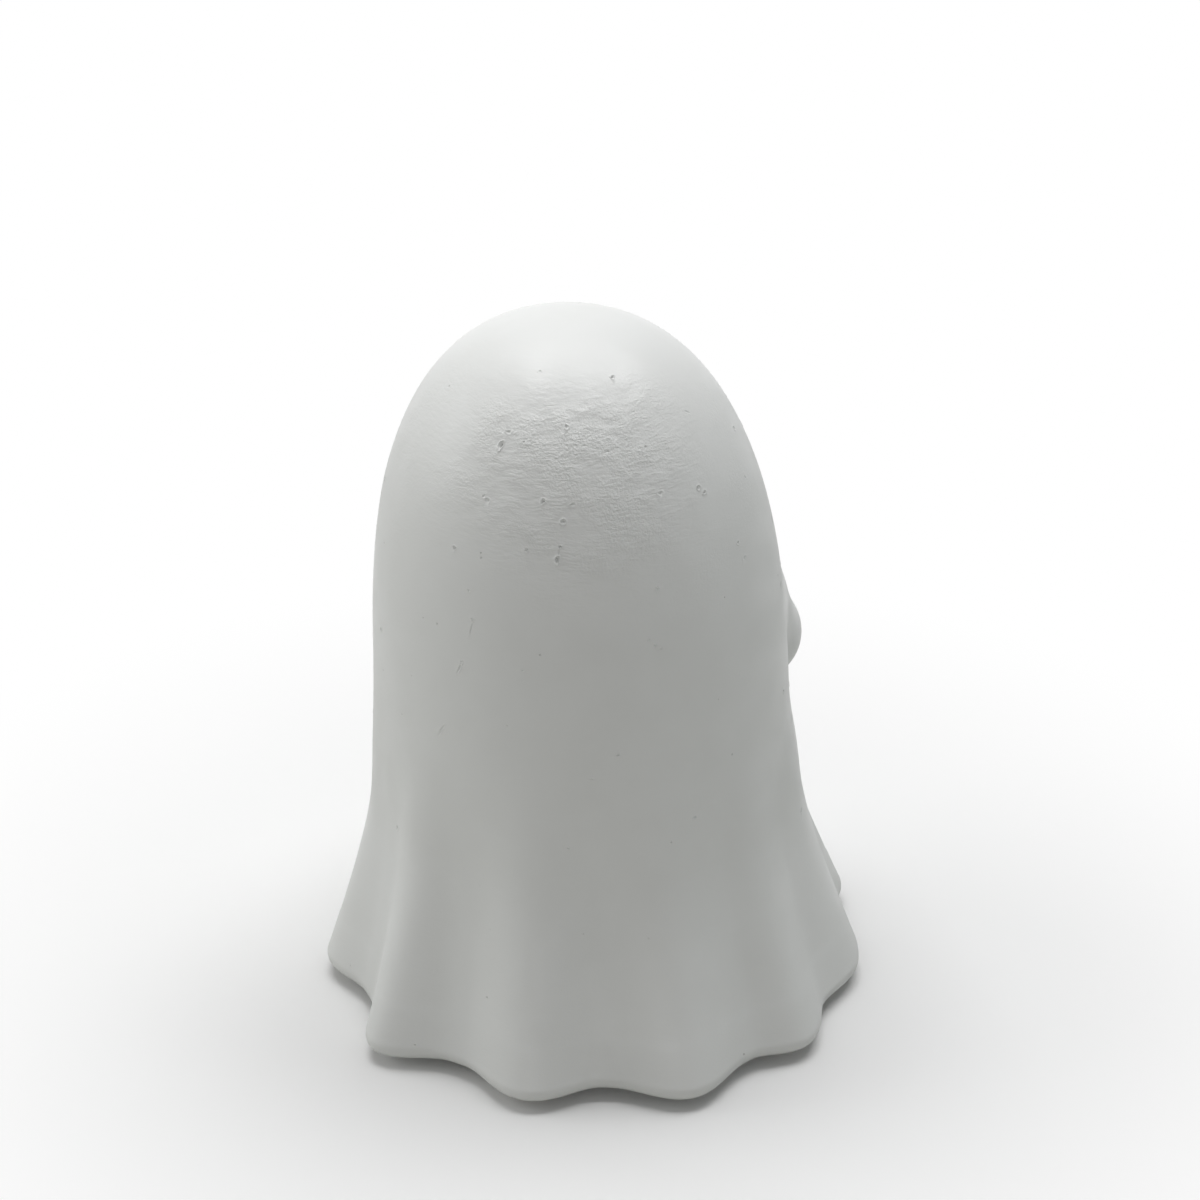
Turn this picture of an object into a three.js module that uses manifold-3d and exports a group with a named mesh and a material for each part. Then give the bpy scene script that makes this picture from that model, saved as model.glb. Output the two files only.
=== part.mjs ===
// A table-top ghost figurine: a hollow cast figure of a ghost under a sheet, open underneath,
// with two eyes and a mouth set into sockets and felt pads glued under its hem.
// Millimetres, +Z up. The face looks along -Y and the figure's own left hand points to +X.
import * as THREE from 'three';
import { mergeVertices, toCreasedNormals } from 'three/addons/utils/BufferGeometryUtils.js';
import Module from 'manifold-3d';

const wasm = await Module();
wasm.setup();

// Overall form of the casting, measured up from its hem
const CASTING_HEIGHT = 150;
const DOME_HEIGHT = 69.5;
const DOME_BASE_RADIUS = 43.8;
const DOME_SHOULDER_POWER = 2.77;
const DOME_CROWN_POWER = 2.4;
const BODY_DRAFT = 3.7;
const LEAN = 2.3;

// Sheet hem: a flared skirt with hanging folds. Each fold has the angle of its ridge, how far the
// ridge stands out of the flared wall at the hem, and how deep the valley after it lies
const FLARE_HEIGHT = 46;
const FLARE_REACH = 9.3;
const FLARE_SOFTNESS = 0.5;
const FOLD_HEIGHT = 60;
const FOLD_FADE = 1.33;
const HEM_EDGE_RADIUS = 3;
const FOLDS = [
  { angle: 19.5, ridge: 2.5, valley: 4.5 },
  { angle: 57, ridge: 4.6, valley: 4 },
  { angle: 90, ridge: 2.7, valley: 3.4 },
  { angle: 125.5, ridge: 3.6, valley: 2.2 },
  { angle: 154.7, ridge: 2.4, valley: 2.6 },
  { angle: 188, ridge: 2.4, valley: 2.5 },
  { angle: 220, ridge: 4.9, valley: 2.4 },
  { angle: 262, ridge: 3.2, valley: 3.2 },
  { angle: 305, ridge: 4, valley: 3.4 },
  { angle: 343, ridge: 2.8, valley: 3.8 },
];

// Inside of the casting
const WALL_THICKNESS = 6;

// Arms: short stubs under the sheet, cast in one with the body
const ARM_SPREAD = 40;
const SHOULDER_HEIGHT = 88;
const SHOULDER_OFFSET = 27;
const SHOULDER_RADIUS = 16.5;
const HAND_HEIGHT = 66;
const HAND_OFFSET = 45.2;
const HAND_RADIUS = 11.5;

// Face: domed oval pieces glued into shallow sockets
const EYE_WIDTH = 9;
const EYE_LENGTH = 13.5;
const EYE_SPACING = 25;
const EYE_HEIGHT = 107;
const MOUTH_WIDTH = 8;
const MOUTH_LENGTH = 10.5;
const MOUTH_HEIGHT = 90;
const SOCKET_DEPTH = 2;
const FACE_PIECE_RIM = 1.6;
const FACE_PIECE_CROWN = 1.5;
const GLUE_GAP = 0.3;

// Felt pads under every second fold
const PAD_DIAMETER = 10;
const PAD_THICKNESS = 2;

// Fineness of the modelled surfaces
const SKIN_COLUMNS = 100;
const CORE_COLUMNS = 50;
const SKIRT_ROWS = 12;
const BODY_ROWS = 4;
const DOME_ROWS = 14;
const EDGE_ROWS = 4;
const SMALL_ROUND_SEGMENTS = 32;
const CREASE_ANGLE = 30;

const DEGREE = Math.PI / 180;
const leanSlope = Math.tan(LEAN * DEGREE);
const draftSlope = Math.tan(BODY_DRAFT * DEGREE);
const domeBase = CASTING_HEIGHT - DOME_HEIGHT;

// Share of the way down from a top height to the hem: 0 at the top and above, 1 at the hem
function dropBelow(top, height) {
  return THREE.MathUtils.clamp((top - height) / top, 0, 1);
}

// Radius of a wall that narrows steadily upwards and closes in a full dome
function domedRadius(height, baseRadius, domeHeight) {
  const wall = baseRadius + draftSlope * (domeBase - height);
  const rise = THREE.MathUtils.clamp((height - domeBase) / domeHeight, 0, 1);
  return wall * Math.pow(1 - Math.pow(rise, DOME_SHOULDER_POWER), 1 / DOME_CROWN_POWER);
}

// The fold that an angle belongs to, the next one, and the share of the way from ridge to ridge
function betweenFolds(angle) {
  const turn = 2 * Math.PI;
  for (let i = 0; i < FOLDS.length; i += 1) {
    const fold = FOLDS[i];
    const next = FOLDS[(i + 1) % FOLDS.length];
    const span = THREE.MathUtils.euclideanModulo((next.angle - fold.angle) * DEGREE, turn);
    const offset = THREE.MathUtils.euclideanModulo(angle - fold.angle * DEGREE, turn);
    if (offset < span) {
      return { fold, next, share: offset / span };
    }
  }
  return { fold: FOLDS[0], next: FOLDS[1], share: 0 };
}

// How far the folds push the sheet in or out at an angle, at the full depth of the hem
function foldOffset(angle) {
  const { fold, next, share } = betweenFolds(angle);
  const ridge = share < 0.5 ? fold.ridge : next.ridge;
  const crest = (1 + Math.cos(2 * Math.PI * share)) / 2;
  return THREE.MathUtils.lerp(-fold.valley, ridge, crest);
}

// How far the skirt stands out from the body: it starts gently and then runs almost straight
function flareOffset(height) {
  const drop = dropBelow(FLARE_HEIGHT, height);
  return (FLARE_REACH * drop * drop * (1 + FLARE_SOFTNESS)) / (drop + FLARE_SOFTNESS);
}

// Radius of the casting's outer skin
function skinRadius(angle, height) {
  const fold = foldOffset(angle) * Math.pow(dropBelow(FOLD_HEIGHT, height), FOLD_FADE);
  const intoEdge = dropBelow(HEM_EDGE_RADIUS, height);
  const roundedOff = HEM_EDGE_RADIUS * (1 - Math.sqrt(1 - intoEdge * intoEdge));
  return domedRadius(height, DOME_BASE_RADIUS, DOME_HEIGHT) + flareOffset(height) + fold - roundedOff;
}

// Radius of the smooth core that leaves the hollow: it follows the body, not the skirt or folds
function coreRadius(angle, height) {
  return domedRadius(height, DOME_BASE_RADIUS - WALL_THICKNESS, DOME_HEIGHT - WALL_THICKNESS);
}

// The body's centre line leans to the figure's left; heights are above the hem
function onLeaningBody(radius, angle, height) {
  return new THREE.Vector3(
    leanSlope * height + radius * Math.cos(angle),
    radius * Math.sin(angle),
    height,
  );
}

function skinPoint(angle, height) {
  return onLeaningBody(skinRadius(angle, height), angle, height);
}

function skinNormal(angle, height) {
  const step = 0.01;
  const across = skinPoint(angle + step, height).sub(skinPoint(angle - step, height));
  const upward = skinPoint(angle, height + step).sub(skinPoint(angle, height - step));
  return across.cross(upward).normalize();
}

// Evenly spaced values from first to last, without the last
function spread(first, last, count) {
  return Array.from({ length: count }, (_, i) => first + ((last - first) * i) / count);
}

// Row heights from the hem to just under the crown, close together where the form turns quickly
function skinHeights() {
  return [
    ...spread(0, 1, EDGE_ROWS).map((t) => HEM_EDGE_RADIUS * (1 - Math.cos((t * Math.PI) / 2))),
    ...spread(HEM_EDGE_RADIUS, FOLD_HEIGHT, SKIRT_ROWS),
    ...spread(FOLD_HEIGHT, domeBase, BODY_ROWS),
    ...spread(0, 1, DOME_ROWS).map((t) => domeBase + DOME_HEIGHT * Math.sin((t * Math.PI) / 2)),
  ];
}

// The core runs a little below the hem, so that it cuts the mouth cleanly
function coreHeights() {
  const coreDome = DOME_HEIGHT - WALL_THICKNESS;
  return [
    -WALL_THICKNESS,
    ...spread(0, domeBase, BODY_ROWS),
    ...spread(0, 1, DOME_ROWS).map((t) => domeBase + coreDome * Math.sin((t * Math.PI) / 2)),
  ];
}

// A closed shell of rows round the leaning centre line, with a flat bottom and a point at the top
function leaningSolid(radiusAt, heights, topHeight, columns) {
  const positions = [];
  for (const height of heights) {
    for (let column = 0; column < columns; column += 1) {
      const angle = (2 * Math.PI * column) / columns;
      positions.push(...onLeaningBody(radiusAt(angle, height), angle, height));
    }
  }
  const bottom = heights.length * columns;
  const top = bottom + 1;
  positions.push(...onLeaningBody(0, 0, heights[0]));
  positions.push(...onLeaningBody(0, 0, topHeight));

  const faces = [];
  for (let column = 0; column < columns; column += 1) {
    const next = (column + 1) % columns;
    faces.push(bottom, next, column);
    for (let row = 0; row < heights.length - 1; row += 1) {
      const here = row * columns;
      const above = here + columns;
      faces.push(here + column, here + next, above + next);
      faces.push(here + column, above + next, above + column);
    }
    const last = (heights.length - 1) * columns;
    faces.push(last + column, last + next, top);
  }
  const geometry = new THREE.BufferGeometry();
  geometry.setAttribute('position', new THREE.Float32BufferAttribute(positions, 3));
  geometry.setIndex(faces);
  return geometry;
}

// Turns a closed geometry into a solid that can be joined and cut
function toSolid(geometry) {
  const bare = geometry.clone();
  bare.deleteAttribute('normal');
  bare.deleteAttribute('uv');
  const merged = mergeVertices(bare);
  return new wasm.Manifold(
    new wasm.Mesh({
      numProp: 3,
      vertProperties: new Float32Array(merged.attributes.position.array),
      triVerts: new Uint32Array(merged.index.array),
    }),
  );
}

function toGeometry(solid) {
  const mesh = solid.getMesh();
  const geometry = new THREE.BufferGeometry();
  geometry.setAttribute('position', new THREE.BufferAttribute(mesh.vertProperties, mesh.numProp));
  geometry.setIndex(new THREE.BufferAttribute(mesh.triVerts, 1));
  return toCreasedNormals(geometry, CREASE_ANGLE * DEGREE);
}

// A stub arm: a tapered bar with round ends from the shoulder, inside the body, to the hand
function armGeometry(side) {
  const angle = (-90 + side * ARM_SPREAD) * DEGREE;
  const shoulder = onLeaningBody(SHOULDER_OFFSET, angle, SHOULDER_HEIGHT);
  const hand = onLeaningBody(HAND_OFFSET, angle, HAND_HEIGHT);
  const length = shoulder.distanceTo(hand);
  const tilt = Math.asin((SHOULDER_RADIUS - HAND_RADIUS) / length);
  const profile = [new THREE.Vector2(0, -SHOULDER_RADIUS)];
  const ends = [
    { centre: 0, radius: SHOULDER_RADIUS, start: -Math.PI / 2, stop: tilt },
    { centre: length, radius: HAND_RADIUS, start: tilt, stop: Math.PI / 2 },
  ];
  const steps = 7;
  for (const { centre, radius, start, stop } of ends) {
    for (let i = 0; i <= steps; i += 1) {
      const turn = THREE.MathUtils.lerp(start, stop, i / steps);
      if (Math.abs(Math.cos(turn)) > 1e-6) {
        profile.push(new THREE.Vector2(radius * Math.cos(turn), centre + radius * Math.sin(turn)));
      }
    }
  }
  profile.push(new THREE.Vector2(0, length + HAND_RADIUS));
  const geometry = new THREE.LatheGeometry(profile, SMALL_ROUND_SEGMENTS);
  const direction = hand.clone().sub(shoulder).normalize();
  geometry.applyQuaternion(
    new THREE.Quaternion().setFromUnitVectors(new THREE.Vector3(0, 1, 0), direction),
  );
  geometry.translate(shoulder.x, shoulder.y, shoulder.z);
  return geometry;
}

// Where a face piece sits on the skin: local +Z points out of the face and local +Y up it
function facePlace(sideways, height) {
  const radius = skinRadius(-Math.PI / 2, height);
  const angle = -Math.PI / 2 + Math.asin(sideways / radius);
  const outward = skinNormal(angle, height);
  const across = new THREE.Vector3(0, 0, 1).cross(outward).normalize();
  const upward = outward.clone().cross(across);
  const place = new THREE.Matrix4().makeBasis(across, upward, outward);
  place.setPosition(skinPoint(angle, height));
  return place;
}

// An oval socket cutter, whose floor lies SOCKET_DEPTH under the skin
function socketGeometry(width, length, place) {
  const above = 2 * SOCKET_DEPTH;
  const geometry = new THREE.CylinderGeometry(1, 1, SOCKET_DEPTH + above, SMALL_ROUND_SEGMENTS);
  geometry.rotateX(Math.PI / 2);
  geometry.translate(0, 0, (above - SOCKET_DEPTH) / 2);
  geometry.scale(width / 2 + GLUE_GAP, length / 2 + GLUE_GAP, 1);
  return geometry.applyMatrix4(place);
}

// A face piece: an oval cabochon with a flat back, a straight rim and a domed front
function cabochonGeometry(width, length) {
  const profile = [new THREE.Vector2(0, 0), new THREE.Vector2(1, 0)];
  const steps = 6;
  for (let i = 0; i < steps; i += 1) {
    const turn = ((Math.PI / 2) * i) / steps;
    profile.push(
      new THREE.Vector2(Math.cos(turn), FACE_PIECE_RIM + FACE_PIECE_CROWN * Math.sin(turn)),
    );
  }
  profile.push(new THREE.Vector2(0, FACE_PIECE_RIM + FACE_PIECE_CROWN));
  const geometry = new THREE.LatheGeometry(profile, SMALL_ROUND_SEGMENTS);
  geometry.rotateX(Math.PI / 2);
  geometry.scale(width / 2, length / 2, 1);
  geometry.translate(0, 0, GLUE_GAP - SOCKET_DEPTH);
  return geometry;
}

const faceParts = [
  { name: 'left_eye', width: EYE_WIDTH, length: EYE_LENGTH, sideways: EYE_SPACING / 2, height: EYE_HEIGHT },
  { name: 'right_eye', width: EYE_WIDTH, length: EYE_LENGTH, sideways: -EYE_SPACING / 2, height: EYE_HEIGHT },
  { name: 'mouth', width: MOUTH_WIDTH, length: MOUTH_LENGTH, sideways: 0, height: MOUTH_HEIGHT },
];

// The casting: skin and arms joined, then hollowed and given the three sockets
function castingGeometry() {
  const skin = toSolid(leaningSolid(skinRadius, skinHeights(), CASTING_HEIGHT, SKIN_COLUMNS));
  const coreTop = CASTING_HEIGHT - WALL_THICKNESS;
  const core = toSolid(leaningSolid(coreRadius, coreHeights(), coreTop, CORE_COLUMNS));
  let casting = skin.add(toSolid(armGeometry(1))).add(toSolid(armGeometry(-1))).subtract(core);
  for (const part of faceParts) {
    const place = facePlace(part.sideways, part.height);
    casting = casting.subtract(toSolid(socketGeometry(part.width, part.length, place)));
  }
  return toGeometry(casting);
}

// A felt pad under a fold, midway between the mouth of the hollow and the fold's flat underside edge
function padMesh(fold, number) {
  const angle = fold.angle * DEGREE;
  const geometry = new THREE.CylinderGeometry(
    PAD_DIAMETER / 2,
    PAD_DIAMETER / 2,
    PAD_THICKNESS,
    SMALL_ROUND_SEGMENTS,
  );
  geometry.rotateX(Math.PI / 2);
  const mesh = new THREE.Mesh(geometry, padMaterial());
  mesh.name = `felt_pad_${number}`;
  mesh.position.copy(onLeaningBody((coreRadius(angle, 0) + skinRadius(angle, 0)) / 2, angle, 0));
  mesh.position.z -= PAD_THICKNESS / 2;
  return mesh;
}

function castingMaterial() {
  return new THREE.MeshStandardMaterial({ color: '#dcdcd8', roughness: 0.6, metalness: 0 });
}

function facePieceMaterial() {
  return new THREE.MeshStandardMaterial({ color: '#141414', roughness: 0.25, metalness: 0 });
}

function padMaterial() {
  return new THREE.MeshStandardMaterial({ color: '#b9b2a4', roughness: 0.95, metalness: 0 });
}

const figurine = new THREE.Group();
figurine.position.z = PAD_THICKNESS;

const casting = new THREE.Mesh(castingGeometry(), castingMaterial());
casting.name = 'ghost_body';
figurine.add(casting);

for (const part of faceParts) {
  const piece = new THREE.Mesh(cabochonGeometry(part.width, part.length), facePieceMaterial());
  piece.name = part.name;
  piece.applyMatrix4(facePlace(part.sideways, part.height));
  figurine.add(piece);
}

FOLDS.filter((_, index) => index % 2 === 0).forEach((fold, index) => {
  figurine.add(padMesh(fold, index + 1));
});

export default figurine;
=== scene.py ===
import math

import bpy
import numpy as np
from mathutils import Matrix, Vector


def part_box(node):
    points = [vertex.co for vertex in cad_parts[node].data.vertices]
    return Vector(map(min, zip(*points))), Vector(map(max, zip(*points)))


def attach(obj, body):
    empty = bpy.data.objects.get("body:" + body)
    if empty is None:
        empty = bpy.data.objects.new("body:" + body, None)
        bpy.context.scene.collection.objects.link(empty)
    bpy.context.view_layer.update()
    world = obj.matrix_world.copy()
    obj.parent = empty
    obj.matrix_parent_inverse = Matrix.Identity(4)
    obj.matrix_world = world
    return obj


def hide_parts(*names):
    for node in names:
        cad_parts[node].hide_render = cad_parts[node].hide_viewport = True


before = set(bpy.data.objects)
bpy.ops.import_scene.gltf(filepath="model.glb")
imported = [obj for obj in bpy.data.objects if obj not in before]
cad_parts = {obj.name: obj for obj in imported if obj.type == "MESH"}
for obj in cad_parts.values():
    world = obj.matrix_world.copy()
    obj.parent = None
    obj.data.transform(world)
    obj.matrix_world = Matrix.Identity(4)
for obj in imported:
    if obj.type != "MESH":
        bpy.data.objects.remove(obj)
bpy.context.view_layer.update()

# Camera
# It stands behind the figurine and to its right, well above it, and looks down through a long lens
# at a point near the middle of the body.
CAMERA_AZIMUTH = math.radians(195)
CAMERA_ELEVATION = math.radians(26.85)
CAMERA_DISTANCE = 0.5883
CAMERA_LENS = 84
AIM_HEIGHT = 0.089
AIM_SIDEWAYS = 0.0011

image_right = Vector((math.cos(CAMERA_AZIMUTH), math.sin(CAMERA_AZIMUTH), 0))
image_depth = Vector((-image_right.y, image_right.x, 0))
towards_camera = -image_depth * math.cos(CAMERA_ELEVATION)
towards_camera.z = math.sin(CAMERA_ELEVATION)
aim = image_right * AIM_SIDEWAYS + Vector((0, 0, AIM_HEIGHT))
bpy.ops.object.camera_add(
    location=aim + towards_camera * CAMERA_DISTANCE,
    rotation=(math.pi / 2 - CAMERA_ELEVATION, 0, CAMERA_AZIMUTH),
)
camera = bpy.context.object
camera.name = "camera"
camera.data.lens = CAMERA_LENS
camera.data.clip_start = 0.01
bpy.context.scene.camera = camera
bpy.context.scene.view_settings.view_transform = "Standard"


# Floor and studio light
# A wide white table under one big softbox overhead, with weaker ones on the left, on the right and
# near the camera. The table keeps the figurine's shadow near it and fades to plain white further off.
FLOOR_SIZE = 6
FLOOR_WHITE = 0.97
FLOOR_BOUNCE = (0.5, 0.5, 0.465, 1)
FLOOR_ROUGHNESS = 0.9
FLOOR_SPECULAR = 0.1
FLOOR_FADE_START = 0.06
FLOOR_FADE_END = 0.2
WHITE = (1, 1, 1, 1)


def grey(value):
    return (value, value, value, 1)


def new_material(name):
    """A material with its shader and output, and nothing else"""
    material = bpy.data.materials.new(name)
    material.use_nodes = True
    tree = material.node_tree
    shader = tree.nodes["Principled BSDF"]
    return material, tree, shader


def add_node(tree, kind, inputs=None, **settings):
    """A node of a kind, with its settings, and with values or links put into its inputs"""
    node = tree.nodes.new(kind)
    for name, value in settings.items():
        setattr(node, name, value)
    for name, value in (inputs or {}).items():
        if isinstance(value, bpy.types.NodeSocket):
            tree.links.new(value, node.inputs[name])
        else:
            node.inputs[name].default_value = value
    return node


def calculate(tree, operation, first, second=0.0, clamp=False):
    """One step of arithmetic on two values or links"""
    node = add_node(tree, "ShaderNodeMath", {0: first, 1: second}, operation=operation)
    node.use_clamp = clamp
    return node.outputs[0]


def ramp(tree, value, low, high, to_low=0.0, to_high=1.0):
    """Turns a value between low and high smoothly into one between to_low and to_high"""
    inputs = {0: value, 1: low, 2: high, 3: to_low, 4: to_high}
    node = add_node(tree, "ShaderNodeMapRange", inputs, interpolation_type="SMOOTHSTEP")
    return node.outputs[0]


def blend_colours(tree, share, first, second):
    """The first colour where share is 0, and the second where it is 1"""
    inputs = {"Factor": share, 6: first, 7: second}
    node = add_node(tree, "ShaderNodeMix", inputs, data_type="RGBA")
    return node.outputs[2]


def seen_ray(tree):
    """1 for rays from the camera and rays in mirrors and glass, 0 for rays that only carry light"""
    path = add_node(tree, "ShaderNodeLightPath")
    seen = calculate(tree, "MAXIMUM", path.outputs["Is Camera Ray"], path.outputs["Is Glossy Ray"])
    return calculate(tree, "MAXIMUM", seen, path.outputs["Is Transmission Ray"])


bpy.ops.object.select_all(action="DESELECT")
bpy.ops.mesh.primitive_plane_add(size=FLOOR_SIZE)
floor = bpy.context.object
floor.name = "floor"

floor_material, tree, shader = new_material("white table")
floor.data.materials.append(floor_material)
seen = seen_ray(tree)
place = add_node(tree, "ShaderNodeTexCoord").outputs["Object"]
distance = add_node(tree, "ShaderNodeVectorMath", {0: place}, operation="LENGTH").outputs["Value"]
far = ramp(tree, distance, FLOOR_FADE_START, FLOOR_FADE_END)
surface = blend_colours(tree, seen, FLOOR_BOUNCE, grey(FLOOR_WHITE))
tree.links.new(surface, shader.inputs["Base Color"])
shader.inputs["Roughness"].default_value = FLOOR_ROUGHNESS
shader.inputs["Specular IOR Level"].default_value = FLOOR_SPECULAR
plain_white = add_node(tree, "ShaderNodeEmission", {"Color": WHITE, "Strength": 1.0})
fade = add_node(
    tree,
    "ShaderNodeMixShader",
    {0: calculate(tree, "MULTIPLY", far, seen), 1: shader.outputs[0], 2: plain_white.outputs[0]},
)
tree.links.new(fade.outputs[0], tree.nodes["Material Output"].inputs["Surface"])

AMBIENT = 0.1
world = bpy.data.worlds.new("studio")
world.use_nodes = True
bpy.context.scene.world = world
tree = world.node_tree
tree.links.new(
    blend_colours(tree, seen_ray(tree), grey(AMBIENT), WHITE),
    tree.nodes["Background"].inputs["Color"],
)

# Each softbox: name, power in watts, colour, where it stands (to the image's right, away from the
# camera, up), and its width and height
SOFTBOXES = [
    ("overhead softbox", 6.75, (1, 1, 1), (0.05, 0.2, 0.9), (0.9, 0.5)),
    ("left softbox", 2.65, (0.99, 1, 0.985), (-0.9, 0.1, 0.4), (0.6, 0.6)),
    ("right softbox", 0.55, (0.82, 0.96, 1), (0.95, 0, 0.2), (0.6, 0.6)),
    ("camera softbox", 1.9, (1, 0.995, 0.99), (0, -1.0, 0.2), (0.6, 0.6)),
]
# A softbox faces the figurine, with its width along the image. The ones that shine nearly along the
# image, from the left and the right, have their width level with the floor
ALONG_IMAGE = 0.7
for name, power, colour, (rightwards, away, up), (width, height) in SOFTBOXES:
    stand = image_right * rightwards + image_depth * away + Vector((0, 0, up))
    bpy.ops.object.light_add(type="AREA", location=stand)
    softbox = bpy.context.object
    softbox.name = name
    facing = (stand - aim).normalized()
    level = (image_right - facing * image_right.dot(facing)).normalized()
    if abs(facing.dot(image_right)) > ALONG_IMAGE:
        level = Vector((0, 0, 1)).cross(facing).normalized()
    softbox.matrix_world = Matrix((level, facing.cross(level), facing)).transposed().to_4x4()
    softbox.location = stand
    softbox.data.shape = "RECTANGLE"
    softbox.data.size = width
    softbox.data.size_y = height
    softbox.data.energy = power
    softbox.data.color = colour


# The casting
# One hollow pour of a hard plaster-like compound, made in a mould and brushed with off-white matte
# paint: head, body, both stub arms and the folded hem of the sheet. It is open underneath.
casting_low, casting_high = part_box("ghost_body")
HEM = casting_low.z
CASTING_HEIGHT = casting_high.z - casting_low.z
DOME_HEIGHT = 0.0695
DOME_BASE = CASTING_HEIGHT - DOME_HEIGHT
DOME_BASE_RADIUS = 0.0438
DOME_SHOULDER_POWER = 2.77
DOME_CROWN_POWER = 2.4
DRAFT_SLOPE = math.tan(math.radians(3.7))
LEAN_SLOPE = math.tan(math.radians(2.3))
WALL = 0.006

FLARE_HEIGHT = 0.046
FLARE_REACH = 0.0093
FLARE_SOFTNESS = 0.5
FOLD_HEIGHT = 0.074
FOLD_FADE = 1.45
HEM_EDGE_RADIUS = 0.0038
MOUTH_EDGE_RADIUS = 0.001

# The folds of the hem, one value for each: where its ridge stands and how far out, how sharp the
# ridge is, and how far in the valley after it reaches and where it lies between the two ridges.
# The first seven were fitted to the photograph, then rounded and changed. The other three
# are out of its view
FOLD_ANGLES = np.radians([20.8, 55.7, 90.7, 124.8, 154.7, 186.5, 218.8, 262, 305, 343])
FOLD_RIDGES = np.array([2.4, 5.1, 2.85, 3.8, 2.8, 1.8, 4.6, 3.2, 4.0, 2.8]) / 1000
FOLD_SHARPNESS = np.array([1.25, 1.7, 0.9, 1.25, 0.85, 1.0, 1.3, 1.0, 1.0, 1.0])
FOLD_VALLEYS = np.array([3.6, 3.3, 3.4, 2.0, 2.0, 0.3, 2.4, 3.2, 3.4, 3.8]) / 1000
VALLEY_PLACES = np.array([0.49, 0.54, 0.45, 0.6, 0.45, 0.62, 0.5, 0.5, 0.5, 0.46])
REAR_FOLD = 2

FACE_ANGLE = -math.pi / 2
ARM_SPREAD = math.radians(40)
SHOULDER_HEIGHT = 0.088
SHOULDER_OFFSET = 0.027
SHOULDER_RADIUS = 0.0165
HAND_HEIGHT = 0.066
HAND_OFFSET = 0.0452
HAND_RADIUS = 0.0115
CREASE_BLEND = 0.0015
SHOULDER_BLEND = 0.0125
ABOVE_SHOULDER_BLEND = 0.009
FRONT_BLEND = 0.006
BLEND_TURN_START = math.radians(22)
BLEND_TURN_END = math.radians(50)
BLEND_WIDENS_FROM = 0.054
BLEND_WIDENS_TO = 0.082
BLEND_EASES_FROM = 0.080
BLEND_EASES_TO = 0.100
RECESS_DEPTH = 0.00075
RECESS_HEIGHT = 0.0655
RECESS_REACH = 0.009
RECESS_SPREAD = math.radians(28)
RECESS_OFFSET = math.radians(25)

# The mesh of the sheet has evenly spaced columns, and rows that stand closer at the crease under the
# arms, at the hem's edge and at the very top
SKIN_COLUMNS = 288
ROW_SPACING = 0.00098
PROFILE_SAMPLES = 4000
ARM_CREASE_HEIGHT = 0.0565
ARM_CREASE_REACH = 0.003
CREASE_CLOSENESS = 3
HEM_CLOSENESS = 1.5
CROWN_CAP = 0.0003
UNDERSIDE_ROWS = 8
HOLLOW_ROWS = 25
MEETING_STEPS = 80
MEETING_STEP_SHARE = 0.8
QUARTER_ROUND = np.radians([30, 60, 90])


def drop_below(top, height):
    """0 at a top height and above it, 1 at the hem"""
    return np.clip((top - height) / top, 0, 1)


def smooth_step(low, high, value):
    share = np.clip((value - low) / (high - low), 0, 1)
    return share * share * (3 - 2 * share)


def domed_radius(height, base_radius, dome_height):
    """A wall that narrows steadily upwards and closes in a full dome"""
    wall = base_radius + DRAFT_SLOPE * (DOME_BASE - height)
    rise = np.clip((height - DOME_BASE) / dome_height, 0, 1)
    return wall * (1 - rise**DOME_SHOULDER_POWER) ** (1 / DOME_CROWN_POWER)


def fold_offset(angle):
    """How far the folds push the sheet in or out at the hem"""
    turn = 2 * math.pi
    before = np.searchsorted(FOLD_ANGLES, angle % turn, side="right") - 1
    after = (before + 1) % len(FOLD_ANGLES)
    span = (FOLD_ANGLES[after] - FOLD_ANGLES[before]) % turn
    share = ((angle - FOLD_ANGLES[before]) % turn) / span
    down = share < VALLEY_PLACES[before]
    fall = share / VALLEY_PLACES[before]
    rise = (share - VALLEY_PLACES[before]) / (1 - VALLEY_PLACES[before])
    from_ridge = np.where(down, fall, 1 - rise) / 2
    ridge = np.where(down, FOLD_RIDGES[before], FOLD_RIDGES[after])
    sharpness = np.where(down, FOLD_SHARPNESS[before], FOLD_SHARPNESS[after])
    crest = ((1 + np.cos(turn * from_ridge)) / 2) ** sharpness
    return crest * ridge - (1 - crest) * FOLD_VALLEYS[before]


def skin_radius(angle, height):
    """The sheet without its arms, round the leaning centre line"""
    drop = drop_below(FLARE_HEIGHT, height)
    flare = FLARE_REACH * drop**2 * (1 + FLARE_SOFTNESS) / (drop + FLARE_SOFTNESS)
    fold = fold_offset(angle) * drop_below(FOLD_HEIGHT, height) ** FOLD_FADE
    into_edge = drop_below(HEM_EDGE_RADIUS, height)
    rounded_off = HEM_EDGE_RADIUS * (1 - np.sqrt(1 - into_edge**2))
    recess = 0
    for side in (-1, 1):
        from_arm = angle - (FACE_ANGLE + side * (ARM_SPREAD + RECESS_OFFSET))
        from_arm = (from_arm + math.pi) % (2 * math.pi) - math.pi
        beside = np.exp(-((from_arm / RECESS_SPREAD) ** 2))
        below = np.exp(-(((height - RECESS_HEIGHT) / RECESS_REACH) ** 2))
        recess = recess + RECESS_DEPTH * beside * below
    dome = domed_radius(height, DOME_BASE_RADIUS, DOME_HEIGHT)
    return dome + flare + fold - rounded_off - recess


def core_radius(height):
    """The smooth core of the mould, which leaves the hollow"""
    return domed_radius(height, DOME_BASE_RADIUS - WALL, DOME_HEIGHT - WALL)


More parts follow.
